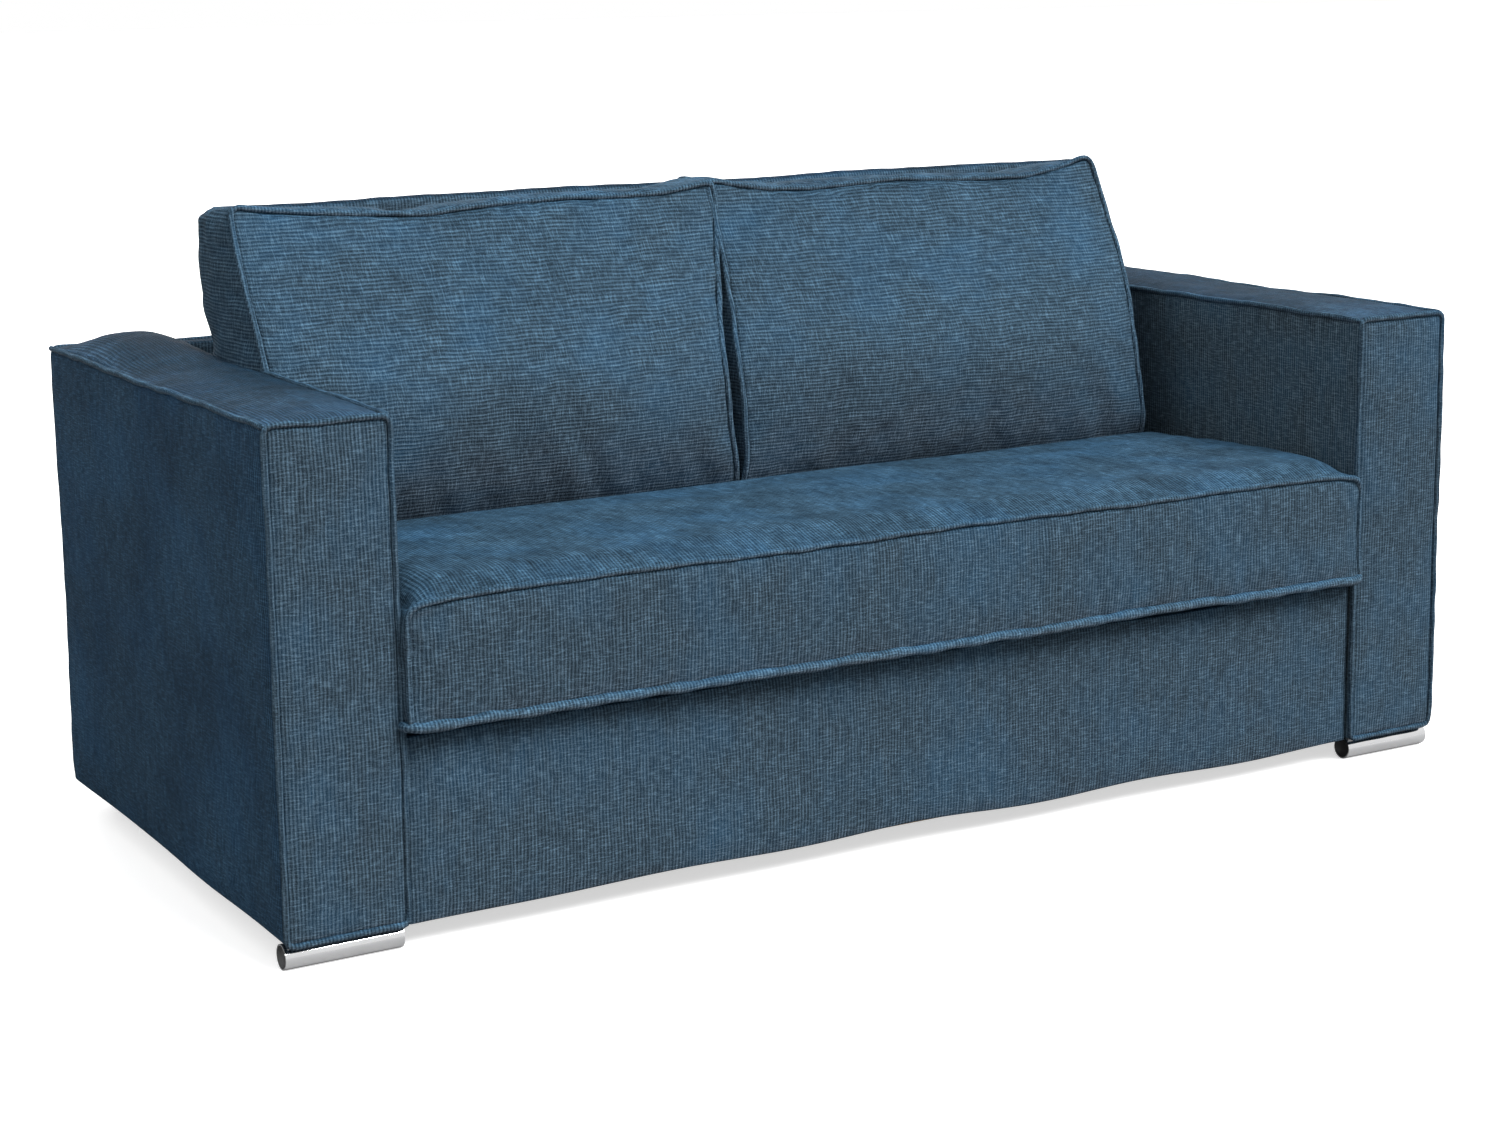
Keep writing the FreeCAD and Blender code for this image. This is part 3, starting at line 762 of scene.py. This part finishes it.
# The cloth of the piping on covers of each slot
PIPING_CLOTH = {
    "upholstery": "arm_piping",
    "cushion_fabric": "cushion_piping",
    "mattress_ticking": "mattress_ticking",
}
FINISHES = {
    "upholstery": woven_fabric("upholstery fabric", painted_shade=True),
    "arm_piping": woven_fabric("arm piping fabric", shade=1.0),
    # the cushion and thick piping fabrics are painted paler: a painted highlight on the raised cords
    "cushion_piping": woven_fabric("cushion piping fabric", shade=1.15),
    "thick_piping": woven_fabric("thick piping fabric", shade=1.35),
    "cushion_fabric": woven_fabric("cushion fabric"),
    "back_cushion": woven_fabric("back cushion fabric", turned=True),
    "mattress_ticking": ticking(),
    "chipboard": chipboard(),
    "softwood": grained_wood("softwood", SOFTWOOD_PALE, SOFTWOOD_DARK, (0.03, 0.03, 0.4)),
    "beech_slats": grained_wood("beech", BEECH_PALE, BEECH_DARK, (0.35, 0.012, 0.012)),
    "dust_cover": felt(),
    "chrome": chrome(),
    "zinc_steel": zinc(),
    "painted_steel": powder_coat(),
    "black_plastic": moulded_plastic(),
}


def finish_frame():
    """Gives every CAD node that is shown the material of its slot."""
    for part in frame["record"]["subparts"]:
        material = FINISHES.get(part["material_slot"])
        if material is None:
            continue
        for slot in frame["nodes"][part["node"]].material_slots:
            slot.link = "OBJECT"
            slot.material = material


# ---------------------------------------------------------------- the sofa's covers


def make_arm(side, end):
    """An arm: a tight cover, piped round its front and along its top, with a rise near the back."""
    low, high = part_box(side + "_arm_cover")
    arm = Cover(low, high, 0.012)
    inner, outer = 1 - end, end
    arm.soften((1, 2), (1, 0), 0.011)
    arm.soften((0, 1), (0, 1), 0.012)
    arm.soften((0, 1), (1, 1), 0.012)
    arm.stretch(0, inner, 0.0015)
    for axis, axis_end in ((0, outer), (1, 0), (1, 1), (2, 1)):
        arm.stretch(axis, axis_end, TAUT)
    along = arm.box_points[:, 1]
    width = arm.fraction(0)
    hump = smooth_step(along, 0.02, 0.25) * (1 - smooth_step(along, 0.30, 0.445))
    hump *= (1 - np.abs(2 * width - 1) ** 2.2) * arm.on_panel(2, 1)
    arm.points[:, 2] += ARM_HUMP[side] * hump
    crown = (1 - np.abs(2 * width - 1) ** 2.5) * np.tanh(arm.seam_distance(1) / 0.06)
    arm.points[:, 2] += 0.004 * crown * arm.on_panel(2, 1)
    arm.pucker(0.0009, 11 + end)
    arm.wander(0.0011, 0.33, 21 + end)
    for name, chain, closed, seed in (
        ("front", arm.loop(1, 0), True, 31),
        ("inner_top", arm.seam(1, (inner, 1)), False, 41),
        ("outer_top", arm.seam(1, (outer, 1)), False, 41),
        ("rear_top", arm.seam(0, (1, 1)), False, 41),
    ):
        cord = side + "_arm_" + name + "_piping"
        piping(arm, cord, chain, "upholstery", "root", closed, depth=TIGHT_SEAM_DEPTH, seed=seed + end)
    sewn(arm, side + "_arm_fabric", FINISHES["upholstery"], "root", [side + "_arm_cover"])


def make_front_panel():
    """The board below the seat: a tight cover with a slightly wavy hem."""
    low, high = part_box("front_panel_cover")
    low[0] += PANEL_GAP
    high[0] -= PANEL_GAP
    panel = Cover(low, high, 0.014)
    panel.stretch(1, 0, TAUT)
    panel.pucker(0.0008, 51)
    panel.wander(0.0012, 0.4, 53)
    hem = 1 - panel.fraction(2)
    panel.points[:, 2] += 0.0026 * hem ** 4 * ripple(panel.box_points, 0.30, 55)
    cloth = FINISHES["upholstery"]
    sewn(panel, "front_panel_fabric", cloth, "root", ["front_panel_cover"])


def make_back_shell():
    """The outside of the back, between the arms, with a seam up the middle and piping along its top."""
    low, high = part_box("back_cover")
    back = Cover(low, high, 0.012)
    back.stretch(1, 1, TAUT)
    back.stretch(2, 1, 0.003)
    seam = np.exp(-((back.box_points[:, 0] / 0.009) ** 2)) * back.on_panel(1, 1)
    back.points[:, 1] -= 0.006 * seam
    back.pucker(0.0009, 61)
    back.wander(0.0012, 0.4, 63)
    upper = back.seam(0, (1, 1))
    piping(back, "back_top_piping", upper, "upholstery", "root", depth=TIGHT_SEAM_DEPTH, seed=65)
    sewn(back, "back_fabric", FINISHES["upholstery"], "root", ["back_cover"])


SEAT_THICKNESS = 0.170  # up to its upper piping, below the crowned top
SEAT_CLEARANCE = 0.0095  # kept free below the fabric, for the tubes of the mechanism
SEAT_TOP = 0.4725  # the highest that the crowned top reaches
SEAT_TOP_REAR = 0.4530  # the same under the back cushions


def make_seat_cushion():
    """The one-piece seat cushion: a crowned top, and a border between thin and thick piping."""
    low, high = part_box("seat_cushion")
    high[2] = low[2] + SEAT_THICKNESS
    low[2] += SEAT_CLEARANCE
    seat = Cover(low, high, 0.014)
    across = seat.seam_distance(0)
    from_front = seat.box_points[:, 1] - low[1]
    to_rear = high[1] - seat.box_points[:, 1]
    for end in (0, 1):
        seat.soften((0, 2), (end, 1), 0.018 + 0.016 * smooth_step(from_front, 0.0, 0.06))
        seat.soften((0, 1), (end, 0), 0.012)
    rise = 0.020 * (1 - np.exp(-from_front / 0.024))
    rise -= 0.016 * smooth_step(from_front, 0.14, 0.40)
    rise *= np.tanh(across / 0.030) * np.tanh(to_rear / 0.03) * seat.on_panel(2, 1)
    seat.points[:, 2] += rise - 0.009 * np.exp(-across / 0.06) * seat.fraction(2)
    border = np.sin(math.pi * seat.fraction(2)) * seat.on_panel(1, 0)
    seat.points[:, 1] += 0.004 * border
    seat.pucker(0.0014, 71, reach=0.035, wavelength=0.05)
    seat.wander(0.0016, 0.36, 73)
    waves = 0.0030 * ripple(seat.box_points, 0.42, 77) * (1 - seat.fraction(2)) ** 2
    seat.points[:, 2] += waves * (1 - smooth_step(from_front, 0.0, 0.25))
    stuff(seat, "seat", SWELL)
    resting = smooth_step(from_front, 0.40, 0.45)
    ceiling = SEAT_TOP_REAR * resting + SEAT_TOP * (1 - resting)
    seat.points[:, 2] = np.clip(seat.points[:, 2], low[2], ceiling)
    body = "seat_section"
    left, right = seat.seam(2, (0, 0)), seat.seam(2, (1, 0))
    upper = left + seat.seam(0, (0, 1))[1:] + right[::-1][1:]
    piping(seat, "seat_upper_piping", upper, "cushion_fabric", body, seed=81)
    lower = seat.seam(1, (0, 0))[::-1] + seat.seam(0, (0, 0))[1:] + seat.seam(1, (1, 0))[1:]
    piping(
        seat,
        "seat_lower_piping",
        lower,
        "cushion_fabric",
        body,
        radius=THICK_PIPING,
        proud=0.45,
        depth=-0.005,
        seed=85,
        cloth="thick_piping",
    )
    nodes = ["seat_cushion", "seat_cushion_core"]
    cloth = FINISHES["cushion_fabric"]
    piece = sewn(seat, "seat_cushion_fabric", cloth, body, nodes)


LEAN_FROM = 0.57  # height where the face of a back cushion starts to lean away
LEAN_TO = 0.93  # height where it would stop leaning
LEAN = 0.157  # how far back it would be by then


def make_back_cushion(side, end):
    """A loose wedge cushion: a piped face, a soft border, ears at its top corners, a rolled foot."""
    low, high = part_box("back_cushion_" + side)
    high[2] -= 0.010
    cushion = Cover(low, high, 0.014)
    height = cushion.box_points[:, 2]
    depth, up, across = cushion.fraction(1), cushion.fraction(2), cushion.fraction(0)
    for axis_end in (0, 1):
        cushion.soften((0, 1), (axis_end, 1), 0.036)
        cushion.soften((0, 2), (axis_end, 1), 0.014)
    cushion.soften((1, 2), (1, 1), 0.036)
    cushion.crown(1, 0, 0.020)
    cushion.crown(2, 1, 0.006)
    belly = np.sin(math.pi * across) * np.exp(-(((up - 0.30) / 0.24) ** 2))
    cushion.points[:, 1] -= 0.010 * belly * cushion.on_panel(1, 0)
    cushion.points[:, 1] += LEAN * smooth_step(height, LEAN_FROM, LEAN_TO) * (1 - depth)
    rolled = np.clip(1 - up / 0.12, 0, 1) ** 2 * (1 - depth)
    cushion.points[:, 1] += 0.020 * rolled
    ears = np.exp(-((cushion.seam_distance(0) / 0.060) ** 1.5))
    wave = np.sin(2 * math.pi * (1.6 * across + 0.2 + 0.35 * end))
    dip = 0.003 * wave - 0.006 * np.sin(math.pi * across)
    to_split = across if side == "left" else 1 - across
    rear_drop = 0.020 * depth * (1 - 1.3 * to_split ** 6)
    cushion.points[:, 2] += (0.013 * ears + dip - rear_drop) * up ** 3
    waist = np.sin(math.pi * np.clip(up / 0.75, 0, 1.33))
    if side == "left":
        cushion.points[:, 0] += (0.016 * up - 0.030 * waist) * across ** 2
        cushion.points[:, 0] -= 0.010 * smooth_step(height, 0.69, 0.78) * (1 - across) ** 2 * depth
    else:
        cushion.points[:, 0] += 0.028 * smooth_step(up, 0.38, 0.9) * (1 - across) ** 2
        cushion.points[:, 0] -= 0.012 * up ** 6 * across ** 2
        cushion.points[:, 0] -= 0.024 * np.exp(-(((up - 0.36) / 0.26) ** 2)) * across ** 3
    for axis_end in (0, 1):
        cushion.crown(0, axis_end, 0.007)
    cushion.pucker(0.0020, 91 + end, reach=0.035, wavelength=0.05)
    cushion.wander(0.0022, 0.22, 93 + end)
    stuff(cushion, "back_cushion_" + side, SWELL)
    cushion.points[:, 2] = np.maximum(cushion.points[:, 2], low[2])
    body = "back_section"
    name = side + "_back_cushion_face_piping"
    piping(cushion, name, cushion.loop(1, 0), "cushion_fabric", body, True, seed=101 + end)
    nodes = ["back_cushion_" + side] + (["back_cushion_cores"] if side == "left" else [])
    cloth = FINISHES["back_cushion"]
    piece = sewn(cushion, side + "_back_cushion_fabric", cloth, body, nodes)


LINING = 0.003  # thickness of the lining in front of the folding back's frame
LINING_OVERLAP = 0.012  # how far below the mattress's upper end the sleeve narrows to its lining
SLEEVE_CLEARANCE = 0.0006  # kept free between the sleeve's rear and the foot section's pad


def make_back_sleeve():
    """The fabric sleeve over the top of the folding back, with a lining that hangs from its front."""
    low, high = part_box("back_sleeve")
    high[1] -= SLEEVE_CLEARANCE
    sleeve = Cover(low, high, 0.016)
    lining = sleeve.box_points[:, 2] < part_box("back_mattress")[1][2] - LINING_OVERLAP
    sleeve.soften((1, 2), (0, 1), 0.012)
    sleeve.soften((1, 2), (1, 1), 0.010)
    sleeve.pucker(0.0010, 111)
    sleeve.wander(0.0012, 0.35, 113)
    flat = sleeve.on_panel(1, 1) & (high[2] - sleeve.box_points[:, 2] > 0.012)
    sleeve.points[:, 1] = np.where(flat, high[1], np.minimum(sleeve.points[:, 1], high[1]))
    thin = low[1] + LINING * (sleeve.box_points[:, 1] - low[1]) / (high[1] - low[1])
    sleeve.points[:, 1] = np.where(lining, thin, sleeve.points[:, 1])
    cloth = FINISHES["upholstery"]
    sewn(sleeve, "back_sleeve_fabric", cloth, "back_section", ["back_sleeve"])


QUILT_PITCH = 0.115
QUILT_DEPTH = 0.0035
TAPE = 0.003  # radius of the taped edge
BINDING = 0.007  # how far the sofa's fabric reaches down from the upper end of an upright section


def bind_upper_end(piece, height):
    """Gives everything above a height the sofa's fabric."""
    piece.data.materials.append(FINISHES["upholstery"])
    for face in piece.data.polygons:
        face.material_index = int(face.center.z > height)


def make_mattress(section):
    """One foam section of the mattress, quilted in diamonds between taped edges.

    The two that stand upright in the closed sofa show their upper end, so it is bound in the
    sofa's fabric.
    """
    node = section + "_mattress"
    low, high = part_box(node)
    thin = int(np.argmin(high - low))
    pad = Cover(low, high, 0.012)
    across = [axis for axis in range(3) if axis != thin]
    a = pad.box_points[:, across[0]] / QUILT_PITCH * math.pi
    b = pad.box_points[:, across[1]] / QUILT_PITCH * math.pi
    groove = np.minimum(np.abs(np.sin(a + b)), np.abs(np.sin(a - b)))
    soft = -QUILT_DEPTH * (1 - np.tanh(3.0 * groove))
    near = np.minimum(pad.seam_distance(across[0]), pad.seam_distance(across[1]))
    soft = soft * np.tanh(near / 0.02) - 0.004 * (1 - np.tanh(near / 0.02))
    for end in (0, 1):
        pad.points[:, thin] += (1 if end else -1) * soft * pad.on_panel(thin, end)
    for axis in across:
        inwards = pad.on_panel(axis, 0).astype(float) - pad.on_panel(axis, 1)
        pad.points[:, axis] += TAPE * inwards
    pad.wander(0.0006, 0.3, 121)
    cloth = FINISHES["mattress_ticking"]
    body = section + "_section"
    for end, face in ((0, "lower"), (1, "upper")):
        name = section + "_mattress_" + face + "_tape"
        edge = pad.loop(thin, end)
        tape = piping(pad, name, edge, "mattress_ticking", body, True, TAPE, 0.0, seed=131 + end)
        if thin == 1:
            bind_upper_end(tape, high[2] - BINDING)
    name = section + "_mattress_ticking"
    piece = sewn(pad, name, cloth, body, [node], levels=0)
    if thin == 1:
        bind_upper_end(piece, high[2] - BINDING)


finish_frame()
make_arm("left", 0)
make_arm("right", 1)
make_front_panel()
make_back_shell()
make_seat_cushion()
make_back_cushion("left", 0)
make_back_cushion("right", 1)
make_back_sleeve()
for section_name in ("head", "seat", "back", "foot"):
    make_mattress(section_name)


# ---------------------------------------------------------------- studio


def make_floor():
    """A wide pale floor, which throws only a little light back up."""
    reach = 60.0
    corners = [(-reach, -reach, 0), (reach, -reach, 0), (reach, reach, 0), (-reach, reach, 0)]
    floor = new_mesh("floor", corners, [(0, 1, 2, 3)])
    made = Finish("studio floor", roughness=0.7)
    tone = made.noise(made.place, 3.0, 3.0)
    seen = made.mix(tone, grey(0.70), grey(0.73))
    path = made.tree.nodes.new("ShaderNodeLightPath")
    unseen = made.mix(path.outputs["Is Diffuse Ray"], grey(0.24), grey(0.14))
    made.colour(made.mix(path.outputs["Is Camera Ray"], unseen, seen))
    glow = made.sums("MULTIPLY", path.outputs["Is Camera Ray"], 0.60)
    made.put(made.shader.inputs["Emission Color"], grey(1))
    made.put(made.shader.inputs["Emission Strength"], glow)
    floor.data.materials.append(made.material)


def make_sun(name, azimuth, elevation, strength, spread):
    """A soft, wide light from one direction; azimuth 0 shines from the front and 90 from the right."""
    data = bpy.data.lights.new(name, "SUN")
    data.energy = strength
    data.angle = math.radians(spread)
    light = bpy.data.objects.new(name, data)
    a, e = math.radians(azimuth), math.radians(elevation)
    towards = Vector((math.sin(a) * math.cos(e), -math.cos(a) * math.cos(e), math.sin(e)))
    light.rotation_mode = "QUATERNION"
    light.rotation_quaternion = towards.to_track_quat("Z", "Y")
    bpy.context.scene.collection.objects.link(light)


def make_world(seen, towards_right, towards_front, upwards, least):
    """A white surround, seen evenly, that lights more from the right, the front and above."""
    world = bpy.data.worlds.new("studio")
    world.use_nodes = True
    tree = world.node_tree
    back = tree.nodes["Background"]
    path = tree.nodes.new("ShaderNodeLightPath")
    place = tree.nodes.new("ShaderNodeTexCoord")
    slope = tree.nodes.new("ShaderNodeVectorMath")
    slope.operation = "DOT_PRODUCT"
    slope.inputs[1].default_value = (towards_right, -towards_front, upwards)
    lit = tree.nodes.new("ShaderNodeMapRange")
    lit.inputs["From Min"].default_value = -1
    lit.inputs["To Min"].default_value = least
    lit.inputs["To Max"].default_value = 1
    level = tree.nodes.new("ShaderNodeMapRange")
    level.inputs["To Max"].default_value = seen
    tree.links.new(place.outputs["Generated"], slope.inputs[0])
    tree.links.new(slope.outputs["Value"], lit.inputs["Value"])
    tree.links.new(lit.outputs[0], level.inputs["To Min"])
    tree.links.new(path.outputs["Is Camera Ray"], level.inputs["Value"])
    tree.links.new(level.outputs[0], back.inputs["Strength"])
    back.inputs["Color"].default_value = grey(1)
    bpy.context.scene.world = world


CAMERA_PLACE = (-2.0738, -3.5165, 1.2030)
CAMERA_TURN = (30.176, -10.786, -0.782)  # yaw to the right, pitch and roll, in degrees
CAMERA_LENS = 66.78
CAMERA_SHIFT = -0.042


def make_camera():
    """A camera at the height of a person's chest, looking down a little from the front left."""
    data = bpy.data.cameras.new("camera")
    data.lens = CAMERA_LENS
    data.shift_y = CAMERA_SHIFT
    camera = bpy.data.objects.new("camera", data)
    yaw, pitch, roll = [math.radians(angle) for angle in CAMERA_TURN]
    flat = math.cos(pitch)
    ahead = Vector((math.sin(yaw) * flat, math.cos(yaw) * flat, math.sin(pitch)))
    level = Vector((math.cos(yaw), -math.sin(yaw), 0))
    above = level.cross(ahead)
    right = level * math.cos(roll) + above * math.sin(roll)
    up = above * math.cos(roll) - level * math.sin(roll)
    turn = Matrix((right, up, -ahead)).transposed()
    camera.matrix_world = Matrix.Translation(CAMERA_PLACE) @ turn.to_4x4()
    bpy.context.scene.collection.objects.link(camera)
    bpy.context.scene.camera = camera


make_floor()
make_sun("key light", azimuth=30, elevation=48, strength=4.6, spread=32)
make_sun("fill light", azimuth=-75, elevation=28, strength=0.45, spread=70)
make_sun("rear light", azimuth=160, elevation=20, strength=2.1, spread=50)
make_world(seen=1.0, towards_right=0.15, towards_front=0.35, upwards=0.55, least=0.30)
make_camera()
bpy.context.scene.view_settings.view_transform = "Standard"
